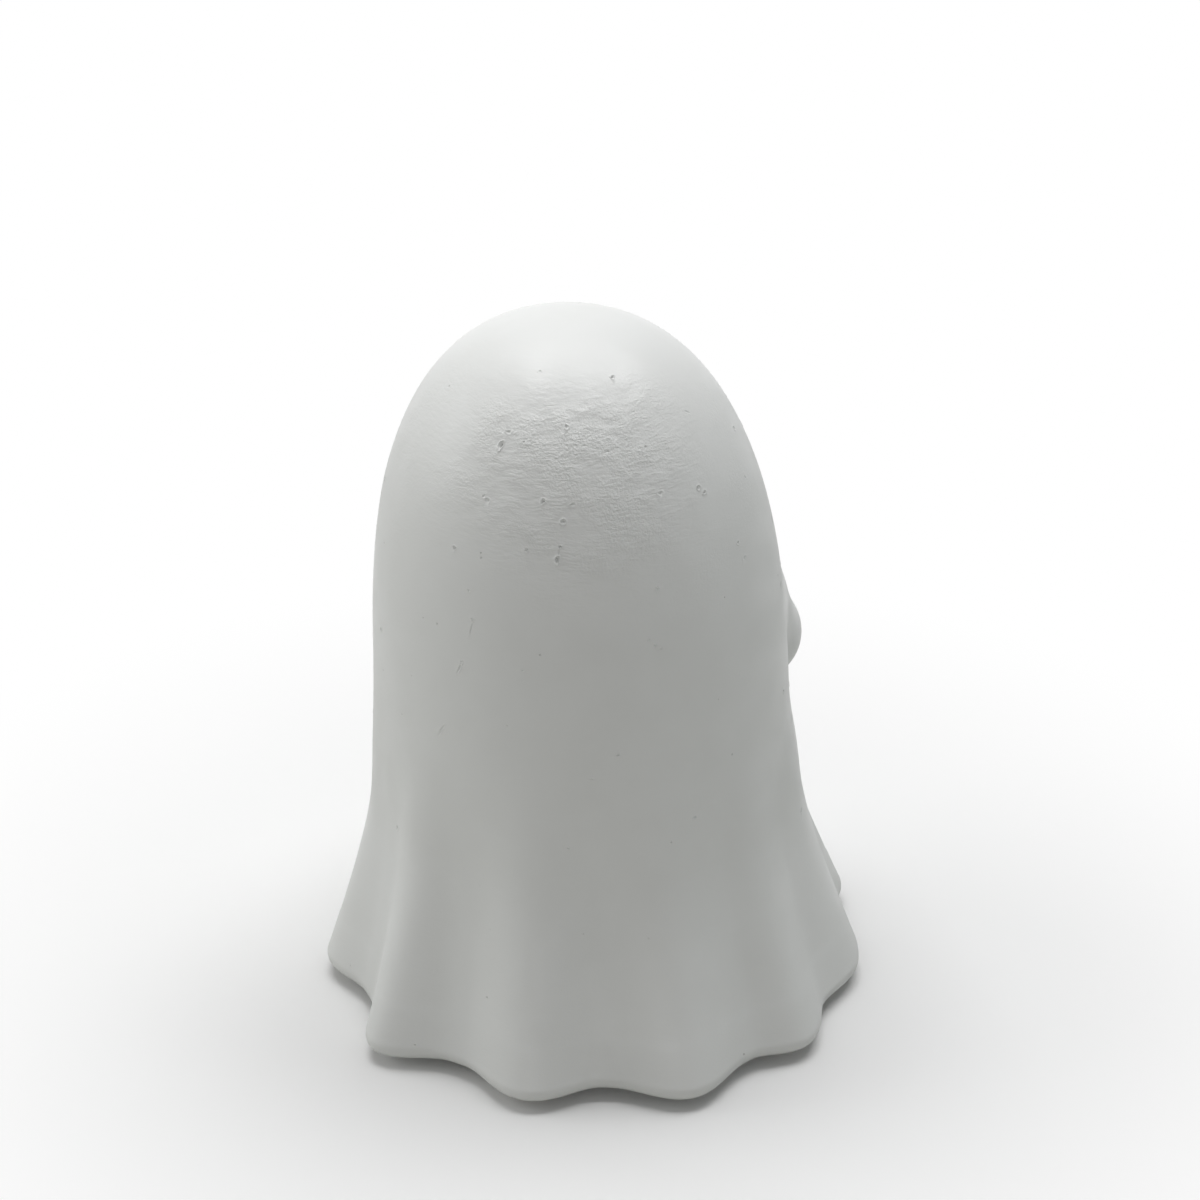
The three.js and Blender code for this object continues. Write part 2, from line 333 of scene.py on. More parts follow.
def on_body(radius, angle, height):
    """A point at a radius round the leaning centre line, with its height above the hem"""
    place = (LEAN_SLOPE * height + radius * np.cos(angle), radius * np.sin(angle), HEM + height)
    return np.stack(np.broadcast_arrays(*place), axis=-1)


def arm_distance(points, side):
    """How far points are outside an arm: a bar with round ends that tapers to the hand"""
    angle = FACE_ANGLE + side * ARM_SPREAD
    shoulder = on_body(SHOULDER_OFFSET, angle, SHOULDER_HEIGHT)
    hand = on_body(HAND_OFFSET, angle, HAND_HEIGHT)
    length = np.linalg.norm(hand - shoulder)
    direction = (hand - shoulder) / length
    taper = math.tan(math.asin((SHOULDER_RADIUS - HAND_RADIUS) / length))
    reach = points - shoulder
    along = reach @ direction
    across = np.linalg.norm(reach - along[..., None] * direction, axis=-1)
    share = np.clip((along - across * taper) / length, 0, 1)
    thickness = SHOULDER_RADIUS + share * (HAND_RADIUS - SHOULDER_RADIUS)
    return np.hypot(along - share * length, across) - thickness


def joined(first, second, blend):
    """The nearer of two surfaces, with a fillet of about a blend width where they meet"""
    overlap = np.maximum(blend - np.abs(first - second), 0) / blend
    return np.minimum(first, second) - overlap**2 * blend / 4


def sheet_radius(angle, height):
    """The sheet with its arms: where a ray from outside first meets it"""
    skin = skin_radius(angle, height)
    from_face = np.abs((angle - FACE_ANGLE + math.pi) % (2 * math.pi) - math.pi)
    behind_arm = smooth_step(BLEND_TURN_START, BLEND_TURN_END, from_face)
    into_shoulder = smooth_step(BLEND_WIDENS_FROM, BLEND_WIDENS_TO, height)
    past_shoulder = smooth_step(BLEND_EASES_FROM, BLEND_EASES_TO, height)
    wide = SHOULDER_BLEND + (ABOVE_SHOULDER_BLEND - SHOULDER_BLEND) * past_shoulder
    wide = FRONT_BLEND + (wide - FRONT_BLEND) * behind_arm
    blend = CREASE_BLEND + (wide - CREASE_BLEND) * into_shoulder
    radius = skin + 2 * HAND_RADIUS
    for _ in range(MEETING_STEPS):
        points = on_body(radius, angle, height)
        outside = radius - skin
        for side in (-1, 1):
            outside = joined(outside, arm_distance(points, side), blend)
        radius = radius - MEETING_STEP_SHARE * outside
    return radius


def row_heights():
    """Heights from the crown down to the hem, spaced along the sheet and closer where it turns"""
    height = CASTING_HEIGHT - np.linspace(0, CASTING_HEIGHT, PROFILE_SAMPLES)
    radius = skin_radius(FOLD_ANGLES[REAR_FOLD], height)
    step = np.hypot(np.diff(height), np.diff(radius))
    middle = (height[1:] + height[:-1]) / 2
    arm_crease = np.exp(-(((middle - ARM_CREASE_HEIGHT) / ARM_CREASE_REACH) ** 2))
    hem_edge = middle < HEM_EDGE_RADIUS
    crown = middle > CASTING_HEIGHT - CROWN_CAP
    closeness = 1 + CREASE_CLOSENESS * arm_crease + HEM_CLOSENESS * hem_edge + crown
    covered = np.concatenate(([0], np.cumsum(step * closeness)))
    count = round(covered[-1] / ROW_SPACING)
    return np.interp(np.linspace(0, covered[-1], count), covered, height)


columns = np.arange(SKIN_COLUMNS) * 2 * math.pi / SKIN_COLUMNS
heights = row_heights()[:, None]
rows = list(on_body(sheet_radius(columns, heights), columns, heights))
mouth_rim = core_radius(0) + MOUTH_EDGE_RADIUS
for share in np.linspace(0, 1, UNDERSIDE_ROWS + 1)[1:]:
    edge = skin_radius(columns, 0)
    rows.append(on_body(edge + (mouth_rim - edge) * share, columns, 0.0))
for turn in QUARTER_ROUND:
    height = MOUTH_EDGE_RADIUS * (1 - math.cos(turn))
    rows.append(on_body(mouth_rim - MOUTH_EDGE_RADIUS * math.sin(turn), columns, height))
hollow_top = CASTING_HEIGHT - WALL
for turn in np.linspace(0, math.pi / 2, HOLLOW_ROWS + 1)[1:]:
    height = MOUTH_EDGE_RADIUS + (hollow_top - MOUTH_EDGE_RADIUS) * math.sin(turn)
    rows.append(on_body(core_radius(height), columns, height))
rows = np.array(rows)


def read_points(mesh):
    flat = np.empty(len(mesh.vertices) * 3, np.float32)
    mesh.vertices.foreach_get("co", flat)
    return flat.reshape(-1, 3).astype(float)


def write_points(mesh, points):
    mesh.vertices.foreach_set("co", points.astype(np.float32).ravel())
    mesh.update()


def ball_into_rows(name, rows):
    """A ball whose rings, from its top pole to its bottom one, are drawn out to rows of points"""
    bpy.ops.object.select_all(action="DESELECT")
    columns = rows.shape[1]
    bpy.ops.mesh.primitive_uv_sphere_add(segments=columns, ring_count=len(rows) - 1, radius=1)
    drawn = bpy.context.object
    drawn.name = name
    ball = read_points(drawn.data)
    ring = np.arccos(np.clip(ball[:, 2], -1, 1)) / math.pi * (len(rows) - 1)
    column = np.arctan2(ball[:, 1], ball[:, 0]) / (2 * math.pi) * columns
    write_points(drawn.data, rows[np.rint(ring).astype(int), np.rint(column).astype(int) % columns])
    return drawn


# The rings go over the head, down to the hem, in to the mouth of the hollow and up to its top
casting = ball_into_rows("casting", rows)
bpy.ops.object.shade_smooth()

# The mould was worked by hand, so the sheet isn't perfectly even: it dips a little here and there,
# less so near the hem and not at its edge
UNEVENNESS = 0.00022
UNEVENNESS_SIZE = 0.020
DIPS_FROM = 0.004
FULL_DIPS_FROM = 0.012
DIPS_NEAR_HEM = 0.35
points = read_points(casting.data)
height = points[:, 2] - HEM
from_axis = np.hypot(points[:, 0] - LEAN_SLOPE * height, points[:, 1])
outside = (from_axis > core_radius(height) + WALL / 2) | (height > hollow_top + WALL / 2)
dips = casting.vertex_groups.new(name="dips")
dip_bands = [
    (DIPS_NEAR_HEM, DIPS_FROM, FULL_DIPS_FROM),
    (1.0, FULL_DIPS_FROM, math.inf),
]
for weight, low, high in dip_bands:
    chosen = np.flatnonzero(outside & (height > low) & (height <= high))
    dips.add(chosen.tolist(), weight, "REPLACE")
clouds = bpy.data.textures.new("hand-worked dips", "CLOUDS")
clouds.noise_scale = UNEVENNESS_SIZE
clouds.noise_depth = 2
dip = casting.modifiers.new("dips", "DISPLACE")
dip.texture = clouds
dip.texture_coords = "LOCAL"
dip.mid_level = 0
dip.strength = -UNEVENNESS
dip.vertex_group = "dips"
bpy.ops.object.modifier_apply(modifier="dips")

# Sockets in the face for the eyes and the mouth, cut by stoppers with a rounded lip
EYE_WIDTH = 0.009
EYE_LENGTH = 0.0135
EYE_SPACING = 0.025
EYE_HEIGHT = 0.107
MOUTH_WIDTH = 0.008
MOUTH_LENGTH = 0.0105
MOUTH_HEIGHT = 0.090
SOCKET_DEPTH = 0.002
GLUE_GAP = 0.0003
LIP_RADIUS = 0.0005
STOPPER_FLARE = 0.001
STOPPER_RISE = 0.0005
STOPPER_TOP = 0.001
SOCKET_COLUMNS = 96
face_pieces = {
    "left_eye": (EYE_WIDTH, EYE_LENGTH, EYE_SPACING / 2, EYE_HEIGHT),
    "right_eye": (EYE_WIDTH, EYE_LENGTH, -EYE_SPACING / 2, EYE_HEIGHT),
    "mouth": (MOUTH_WIDTH, MOUTH_LENGTH, 0.0, MOUTH_HEIGHT),
}


def on_skin(angle, height):
    return on_body(skin_radius(angle, height), angle, height)


def skin_axes(angle, height):
    """Directions across the sheet, up it and out of it, at an angle and a height"""
    turn = 0.01
    rise = 0.00001
    sideways = on_skin(angle + turn, height) - on_skin(angle - turn, height)
    upwards = on_skin(angle, height + rise) - on_skin(angle, height - rise)
    outward = np.cross(sideways, upwards)
    outward = outward / np.linalg.norm(outward)
    across = np.cross((0, 0, 1), outward)
    across = across / np.linalg.norm(across)
    return across, np.cross(outward, across), outward


def face_place(sideways, height):
    """Where a face piece sits on the sheet, and its directions across, up and out"""
    angle = FACE_ANGLE + math.asin(sideways / skin_radius(FACE_ANGLE, height))
    return on_skin(angle, height), skin_axes(angle, height)


def drop_onto_skin(points):
    """Moves points near the sheet onto it, straight towards the leaning centre line"""
    height = points[:, 2] - HEM
    angle = np.arctan2(points[:, 1], points[:, 0] - LEAN_SLOPE * height)
    return on_skin(angle, height)


# A stopper's profile from its top down, as pairs: how far outside the socket's oval and how deep. It
# flares out above the sheet, rounds the lip and ends in a flat bottom with its corner eased
stopper_profile = [(LIP_RADIUS / 2 + STOPPER_FLARE, -STOPPER_RISE)]
for turn in np.radians([30, 45, 60, 75, 90]):
    outset = LIP_RADIUS * (1 - math.sin(turn))
    stopper_profile.append((outset, LIP_RADIUS * (1 - math.cos(turn))))
for depth in (0.55, 0.75, 0.9):
    stopper_profile.append((0.0, SOCKET_DEPTH * depth))
stopper_profile.append((-0.0001, SOCKET_DEPTH * 0.97))
stopper_profile.append((-0.0004, SOCKET_DEPTH))
stopper_profile.append((-0.0020, SOCKET_DEPTH))
turns = np.arange(SOCKET_COLUMNS) * 2 * math.pi / SOCKET_COLUMNS
for name, (width, length, sideways, height) in face_pieces.items():
    centre, (across, upward, outward) = face_place(sideways, height)
    rows = [np.tile(centre + STOPPER_TOP * outward, (SOCKET_COLUMNS, 1))]
    for outset, depth in stopper_profile:
        half_width = width / 2 + GLUE_GAP + outset
        half_length = length / 2 + GLUE_GAP + outset
        oval = centre + np.outer(half_width * np.cos(turns), across)
        oval = oval + np.outer(half_length * np.sin(turns), upward)
        rows.append(drop_onto_skin(oval) - depth * outward)
    rows.append(np.tile(centre - SOCKET_DEPTH * outward, (SOCKET_COLUMNS, 1)))
    stopper = ball_into_rows(name + "_stopper", np.array(rows))
    bpy.context.view_layer.objects.active = casting
    cut = casting.modifiers.new("socket", "BOOLEAN")
    cut.operation = "DIFFERENCE"
    cut.solver = "EXACT"
    cut.object = stopper
    bpy.ops.object.modifier_apply(modifier="socket")
    bpy.data.objects.remove(stopper)

# Air pits and scratches in the sheet, where the photograph shows them. Each has its angle, its height
# above the hem, how wide, how long and how deep it is, and how far it is turned, in degrees and
# millimetres
PITS = [
    (131.5, 144.5, 0.8, 0.8, 0.45, 0),
    (89.5, 145.6, 0.7, 0.5, 0.20, 0),
    (80.0, 134.2, 0.75, 2.3, 0.60, -20),
    (81.8, 136.4, 1.2, 0.8, 0.25, 20),
    (105.0, 138.0, 0.8, 0.9, 0.35, 0),
    (78.5, 124.3, 1.3, 0.9, 0.28, -30),
    (76.9, 124.9, 0.9, 0.6, 0.20, 30),
    (96.8, 125.5, 0.75, 1.4, 0.45, -15),
    (103.0, 122.0, 0.9, 1.2, 0.50, 10),
    (106.0, 125.0, 1.1, 0.7, 0.25, 25),
    (69.0, 114.0, 0.8, 0.8, 0.45, 0),
    (92.0, 116.3, 0.7, 0.7, 0.40, 0),
    (101.0, 115.0, 0.8, 1.5, 0.80, 0),
    (101.8, 117.3, 0.6, 0.6, 0.45, 0),
    (149.8, 124.1, 0.8, 1.1, 0.50, 40),
    (151.7, 122.8, 0.9, 0.8, 0.45, 30),
    (135.0, 125.2, 1.2, 0.9, 0.25, 15),
    (129.0, 107.8, 0.9, 0.7, 0.30, 0),
    (160.5, 110.8, 0.8, 0.7, 0.35, 0),
    (162.0, 107.2, 1.2, 0.8, 0.25, 0),
    (114.8, 74.2, 0.7, 0.7, 0.40, 0),
    (107.8, 69.2, 0.9, 0.6, 0.20, 0),
    (101.0, 53.6, 0.8, 0.6, 0.18, 0),
    (90.8, 92.1, 0.9, 0.5, 0.22, 20),
    (135.0, 57.3, 0.8, 0.6, 0.28, 0),
    (125.0, 97.8, 0.8, 0.5, 0.22, 30),
    (126.8, 96.5, 0.7, 0.6, 0.30, 0),
    (128.2, 95.6, 1.0, 0.4, 0.20, 15),
    (74.8, 106.5, 0.7, 0.6, 0.22, 0),
    (76.2, 100.8, 0.7, 0.6, 0.35, 0),
    (72.9, 91.2, 0.6, 0.6, 0.35, 0),
]
SCRATCHES = [
    (76.0, 98.9, 0.45, 3.6, 0.22, -10),
    (72.2, 89.8, 0.50, 3.4, 0.22, -22),
    (65.7, 74.6, 0.50, 4.6, 0.22, -30),
    (159.4, 136.5, 0.40, 2.6, 0.12, 45),
    (101.5, 116.2, 0.40, 2.2, 0.18, -5),
]

# More pits of the same kind, placed at random over the front and both sides, clear of the face. A
# range is its lowest and highest value, and for the heights the most usual one between them
SEEDED_PITS = 34
SEEDED_ANGLES = (170, 410)
SEEDED_HEIGHTS = (20, 125, 148)
SEEDED_WIDTHS = (0.6, 1.1)
SEEDED_LENGTH_SHARES = (0.7, 1.5)
SEEDED_DEPTHS = (0.2, 0.5)
SEEDED_TURNS = (-40, 40)
FACE_DIRECTION = 270
FACE_HALF_ANGLE = 28
FACE_BOTTOM = 78
FACE_TOP = 120
chance = np.random.default_rng(11)
marks = list(PITS) + list(SCRATCHES)
while len(marks) < len(PITS) + len(SCRATCHES) + SEEDED_PITS:
    angle = chance.uniform(*SEEDED_ANGLES)
    height = chance.triangular(*SEEDED_HEIGHTS)
    width = chance.uniform(*SEEDED_WIDTHS)
    length = width * chance.uniform(*SEEDED_LENGTH_SHARES)
    on_face = abs(angle - FACE_DIRECTION) < FACE_HALF_ANGLE and FACE_BOTTOM < height < FACE_TOP
    if not on_face:
        depth = chance.uniform(*SEEDED_DEPTHS)
        turn = chance.uniform(*SEEDED_TURNS)
        marks.append((angle, height, width, length, depth, turn))

# The faces round each mark are divided first, so that it has points enough to sink
MARK_CUTS = 6
MARK_MARGIN = 0.0006
middles = np.empty(len(casting.data.polygons) * 3, np.float32)
casting.data.polygons.foreach_get("center", middles)
middles = middles.reshape(-1, 3).astype(float)
marked = np.zeros(len(middles), bool)
places = []
for angle, height, width, length, depth, turn in marks:
    angle = math.radians(angle)
    height = height / 1000
    across, upward, outward = skin_axes(angle, height)
    centre = on_body(sheet_radius(np.array(angle), np.array(height)), angle, height)
    lean = math.radians(turn)
    along = upward * math.cos(lean) - across * math.sin(lean)
    beside = across * math.cos(lean) + upward * math.sin(lean)
    places.append((centre, beside, along, outward, width / 2000, length / 2000, depth / 1000))
    reach = middles - centre
    near = np.hypot(
        reach @ beside / (width / 2000 + MARK_MARGIN),
        reach @ along / (length / 2000 + MARK_MARGIN),
    )
    marked |= (near < 1) & (np.abs(reach @ outward) < WALL / 3)
bpy.ops.object.mode_set(mode="EDIT")
bpy.ops.mesh.select_mode(type="FACE")
bpy.ops.mesh.select_all(action="DESELECT")
bpy.ops.object.mode_set(mode="OBJECT")
casting.data.polygons.foreach_set("select", marked)
bpy.ops.object.mode_set(mode="EDIT")
bpy.ops.mesh.subdivide(number_cuts=MARK_CUTS)
bpy.ops.object.mode_set(mode="OBJECT")

# A pit is a ragged bowl with a raised lip, steeper above than below. The lip's height is a share of the
# pit's depth. The next values, down to the lip's reach, are shares of its half width and half length.
# A pit of the last depth or deeper has the full shade
PIT_LIP = 0.3
UPPER_WALL = 0.7
LOWER_WALL = 1.2
TWO_LOBES = 0.16
THREE_LOBES = 0.12
PIT_FLOOR = 0.15
PIT_EDGE = 0.95
LIP_PLACE = 1.2
LIP_REACH = 0.22
OUT_OF_REACH = 10
FULL_SHADE_DEPTH = 0.0005
points = read_points(casting.data)
pitted = np.zeros(len(points))
sunk = np.zeros_like(points)
for number, (centre, beside, along, outward, half_width, half_length, depth) in enumerate(places):
    reach = points - centre
    right = reach @ beside / half_width
    up = reach @ along / half_length
    up = up / np.where(up > 0, UPPER_WALL, LOWER_WALL)
    direction = np.arctan2(up, right)
    ragged = 1 + TWO_LOBES * np.sin(2 * direction + number)
    ragged = ragged + THREE_LOBES * np.sin(3 * direction + 2 * number)
    spread = np.hypot(right, up) / ragged
    spread[np.abs(reach @ outward) > WALL / 3] = OUT_OF_REACH
    inside = 1 - smooth_step(PIT_FLOOR, PIT_EDGE, spread)
    lip = np.exp(-(((spread - LIP_PLACE) / LIP_REACH) ** 2))
    sunk -= np.outer((inside - PIT_LIP * lip) * depth, outward)
    pitted = np.maximum(pitted, inside * min(depth / FULL_SHADE_DEPTH, 1))
write_points(casting.data, points + sunk)
pit_shade = casting.data.attributes.new("pitted", "FLOAT", "POINT")
pit_shade.data.foreach_set("value", pitted.astype(np.float32))

# Paint covers the sheet and wraps under the hem. It fades out between two shares of the wall, and the
# hollow is bare
PAINT_ENDS = 0.15
PAINT_FULL = 0.7
height = points[:, 2] - HEM
from_axis = np.hypot(points[:, 0] - LEAN_SLOPE * height, points[:, 1])
from_core = (from_axis - core_radius(height)) / WALL
painted = smooth_step(PAINT_ENDS, PAINT_FULL, from_core)
painted[height > hollow_top + WALL / 2] = 1
paint = casting.data.attributes.new("painted", "FLOAT", "POINT")
paint.data.foreach_set("value", painted.astype(np.float32))

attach(casting, "root")
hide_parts("ghost_body")


def new_group(name, inputs, outputs):
    """A shader node group with number inputs, each with its usual value, and number outputs"""
    group = bpy.data.node_groups.new(name, "ShaderNodeTree")
    group.interface.new_socket("Place", in_out="INPUT", socket_type="NodeSocketVector")
    for label, usual in inputs.items():
        socket = group.interface.new_socket(label, in_out="INPUT", socket_type="NodeSocketFloat")
        socket.default_value = usual
    for label in outputs:
        group.interface.new_socket(label, in_out="OUTPUT", socket_type="NodeSocketFloat")
    return group, add_node(group, "NodeGroupInput").outputs, add_node(group, "NodeGroupOutput").inputs


def use_group(tree, group, inputs):
    return add_node(tree, "ShaderNodeGroup", inputs, node_tree=group).outputs


def noise(tree, place, scale, detail=2.0, roughness=0.5, shift=0.0):
    """Cloudy values of about 0 to 1, in patches of about 1 / scale metres"""
    inputs = {"Vector": place, "W": shift, "Scale": scale, "Detail": detail, "Roughness": roughness}
    return add_node(tree, "ShaderNodeTexNoise", inputs, noise_dimensions="4D").outputs["Fac"]


def stretched(tree, place, stretch):
    """Places for a pattern that is finer along the axes with a bigger stretch"""
    mapping = add_node(tree, "ShaderNodeMapping", {"Vector": place, "Scale": stretch})
    return mapping.outputs["Vector"]


# Soft blotches, such as uneven handling or drying leaves, in patches of a given size
mottle, given, result = new_group("mottle", {"Size": 0.01, "Seed": 0.0}, ["Mottle"])
patch_scale = calculate(mottle, "DIVIDE", 1.0, given["Size"])
blotches = noise(mottle, given["Place"], patch_scale, 3.0, 0.6, given["Seed"])
mottle.links.new(ramp(mottle, blotches, 0.3, 0.7), result["Mottle"])

# Fine dust: sparse specks, more of them on what faces up
dust, given, result = new_group("dust", {"Speck": 0.0004, "Share": 0.3}, ["Dust"])
speck_scale = calculate(dust, "DIVIDE", 1.0, given["Speck"])
specks = noise(dust, given["Place"], speck_scale, 2.0, 0.7, 3.0)
normal = add_node(dust, "ShaderNodeNewGeometry").outputs["Normal"]
facing_up = add_node(dust, "ShaderNodeSeparateXYZ", {0: normal})
settled = ramp(dust, facing_up.outputs["Z"], -0.2, 1.0, 0.25, 1.0)
cover = calculate(dust, "MULTIPLY", settled, given["Share"])
edge = calculate(dust, "SUBTRACT", 1.0, cover)
lit = calculate(dust, "SUBTRACT", ramp(dust, specks, 0.25, 0.75), edge)
dust.links.new(calculate(dust, "MULTIPLY", lit, 4.0, clamp=True), result["Dust"])

# The surface of the casting: paint that was brushed level round the figure and dried in fine
# wrinkles and grain, most of all over the back of the head, with the smallest air holes of the compound
PAINT = (0.79, 0.80, 0.79, 1)
PAINT_WORN = (0.75, 0.757, 0.742, 1)
BARE_PLASTER = (0.60, 0.585, 0.55, 1)
PIT_SHADE = (0.42, 0.42, 0.41, 1)
WRINKLE_LENGTH = 0.0021
WRINKLE_HEIGHT = 0.00062
WRINKLE_WANDER = 0.0011
WANDER_SIZE = 0.004
GRAIN_SIZE = 0.00052
LUMP_LENGTH = 0.005
LUMP_HEIGHT = 0.003
RELIEF = 0.00027
DRY_ANGLE = math.radians(108)
DRY_HEIGHT = 0.132
DRY_CORE = 0.010
DRY_REACH = 0.037
RAGGED_SIZE = 0.007
HEAD_FROM = 0.085
HEAD_TO = 0.125
HEAD_WRINKLES = 0.3
HEAD_PATCH_SIZE = 0.018
CROWN_FROM = 0.141
CROWN_TO = 0.150
CROWN_WRINKLES = 0.15
BODY_WRINKLES = 0.08
GRAIN_PATCH_SIZE = 0.011
LUMP_SHARE = 0.8
HOLE_SPACING = 0.0032
HOLE_RELIEF = 0.5
PLASTER_GRAIN_SIZE = 0.0016
WORN_PATCH_SIZE = 0.018
WORN_SHARE = 0.35
SPECK_SIZE = 0.0005
SPECK_COVER = 0.10
SPECK_SHARE = 0.08
SHADE_FALLOFF = 4.0
SHADE_SHARE = 0.4
SHEEN_PATCH_SIZE = 0.012
PAINT_SMOOTHEST = 0.42
PAINT_ROUGHEST = 0.60
HANDLED_FROM = 0.134
HANDLED_TO = 0.147
HANDLED_SHARE = 0.8
BARE_ROUGHNESS = 0.9
PAINT_SPECULAR = 0.45
HALF = (0.5, 0.5, 0.5)


def centred_noise(tree, place, size):
    """Places pushed about at random, by up to half a unit each way, over patches of a given size"""
    inputs = {"Vector": place, "Scale": 1 / size, "Detail": 1.0}
    pushed = add_node(tree, "ShaderNodeTexNoise", inputs, noise_dimensions="3D").outputs["Color"]
    return add_node(tree, "ShaderNodeVectorMath", {0: pushed, 1: HALF}, operation="SUBTRACT").outputs[0]


casting_material, tree, shader = new_material("painted casting")
casting.data.materials.clear()
casting.data.materials.append(casting_material)
place = add_node(tree, "ShaderNodeTexCoord").outputs["Object"]
height = add_node(tree, "ShaderNodeSeparateXYZ", {0: place}).outputs["Z"]
pitted = add_node(tree, "ShaderNodeAttribute", attribute_name="pitted").outputs["Fac"]
painted = add_node(tree, "ShaderNodeAttribute", attribute_name="painted").outputs["Fac"]

# How much the paint is wrinkled: most in one ragged patch on the back of the head where the brush
# ran dry, a little in patches over the rest of the head, and least on the crown and the body
dry_middle = on_body(skin_radius(np.array(DRY_ANGLE), DRY_HEIGHT), DRY_ANGLE, DRY_HEIGHT)
from_dry = add_node(
    tree,
    "ShaderNodeVectorMath",
    {0: place, 1: dry_middle.tolist()},
    operation="DISTANCE",
)
dry = ramp(tree, from_dry.outputs["Value"], DRY_CORE, DRY_REACH, 1.0, 0.0)
ragged = ramp(tree, noise(tree, place, 1 / RAGGED_SIZE, 2.0, 0.6, 8.0), 0.30, 0.62, 0.35, 1.0)
dry = calculate(tree, "MULTIPLY", dry, ragged)
patchy = ramp(tree, noise(tree, place, 1 / HEAD_PATCH_SIZE, 2.0, 0.5, 5.0), 0.40, 0.62, 0.3, 1.0)
head = calculate(tree, "MULTIPLY", ramp(tree, height, HEAD_FROM, HEAD_TO, 0.0, HEAD_WRINKLES), patchy)
below_crown = ramp(tree, height, CROWN_FROM, CROWN_TO, 1.0, CROWN_WRINKLES)
wrinkled = calculate(tree, "MULTIPLY", calculate(tree, "MAXIMUM", dry, head), below_crown)
wrinkled = calculate(tree, "MAXIMUM", wrinkled, BODY_WRINKLES)

# The relief of the paint: long level wrinkles that wander a little, patches of fine grain and low
# lumps, with the compound's smallest holes sunk into it
wander = add_node(
    tree,
    "ShaderNodeVectorMath",
    {0: centred_noise(tree, place, WANDER_SIZE), "Scale": WRINKLE_WANDER},
    operation="SCALE",
)
wandering = add_node(tree, "ShaderNodeVectorMath", {0: place, 1: wander.outputs[0]}, operation="ADD")
level = (1 / WRINKLE_LENGTH, 1 / WRINKLE_LENGTH, 1 / WRINKLE_HEIGHT)
relief = noise(tree, stretched(tree, wandering.outputs[0], level), 1.0, 2.5, 0.6, 1.0)
grain = noise(tree, place, 1 / GRAIN_SIZE, 2.0, 0.6, 2.0)
grainy = ramp(tree, noise(tree, place, 1 / GRAIN_PATCH_SIZE, 1.0, 0.5, 9.0), 0.42, 0.60, 0.25, 1.0)
relief = calculate(tree, "ADD", relief, calculate(tree, "MULTIPLY", grain, grainy))
level = (1 / LUMP_LENGTH, 1 / LUMP_LENGTH, 1 / LUMP_HEIGHT)
lumps = noise(tree, stretched(tree, place, level), 1.0, 1.0, 0.5, 3.0)
relief = calculate(tree, "ADD", relief, calculate(tree, "MULTIPLY", lumps, LUMP_SHARE))
relief = calculate(tree, "MULTIPLY", relief, wrinkled)

cells = add_node(tree, "ShaderNodeTexVoronoi", {"Vector": place, "Scale": 1 / HOLE_SPACING})
hole = ramp(tree, cells.outputs["Distance"], 0.05, 0.09, 1.0, 0.0)
cell_chance = add_node(tree, "ShaderNodeSeparateXYZ", {0: cells.outputs["Color"]}).outputs["X"]
hole = calculate(tree, "MULTIPLY", hole, ramp(tree, cell_chance, 0.88, 0.90))
relief = calculate(tree, "SUBTRACT", relief, calculate(tree, "MULTIPLY", hole, HOLE_RELIEF))

# The bare compound inside the hollow is coarser than the paint
bare = calculate(tree, "SUBTRACT", 1.0, painted)
coarse = noise(tree, place, 1 / PLASTER_GRAIN_SIZE, 4.0, 0.65, 4.0)
relief = calculate(tree, "ADD", relief, calculate(tree, "MULTIPLY", coarse, bare))

# The colour: paint with faint worn patches and specks, bare compound inside, and shade in the pits
worn_patch = {"Place": place, "Size": WORN_PATCH_SIZE, "Seed": 1.0}
blotchy = use_group(tree, mottle, worn_patch)["Mottle"]
colour = blend_colours(tree, calculate(tree, "MULTIPLY", blotchy, WORN_SHARE), PAINT, PAINT_WORN)
speck = {"Place": place, "Speck": SPECK_SIZE, "Share": SPECK_COVER}
settled = use_group(tree, dust, speck)["Dust"]
colour = blend_colours(tree, calculate(tree, "MULTIPLY", settled, SPECK_SHARE), colour, PAINT_WORN)
colour = blend_colours(tree, bare, colour, BARE_PLASTER)
shade = calculate(tree, "POWER", pitted, SHADE_FALLOFF)
shade = calculate(tree, "MULTIPLY", calculate(tree, "MAXIMUM", shade, hole), SHADE_SHARE)
colour = blend_colours(tree, shade, colour, PIT_SHADE)
tree.links.new(colour, shader.inputs["Base Color"])

# The crown is the smoothest, where hands lift the figure, so it has a soft highlight
sheen_patch = {"Place": place, "Size": SHEEN_PATCH_SIZE, "Seed": 2.0}
sheen = use_group(tree, mottle, sheen_patch)["Mottle"]
roughness = ramp(tree, sheen, 0.0, 1.0, PAINT_SMOOTHEST, PAINT_ROUGHEST)
handled = ramp(tree, height, HANDLED_FROM, HANDLED_TO, 1.0, HANDLED_SHARE)
roughness = calculate(tree, "MULTIPLY", roughness, handled)
rough_inside = calculate(tree, "MULTIPLY", bare, BARE_ROUGHNESS)
roughness = calculate(tree, "MAXIMUM", roughness, rough_inside)
tree.links.new(roughness, shader.inputs["Roughness"])
shader.inputs["Specular IOR Level"].default_value = PAINT_SPECULAR
bump = add_node(tree, "ShaderNodeBump", {"Height": relief, "Strength": 1.0, "Distance": RELIEF})
tree.links.new(bump.outputs["Normal"], shader.inputs["Normal"])


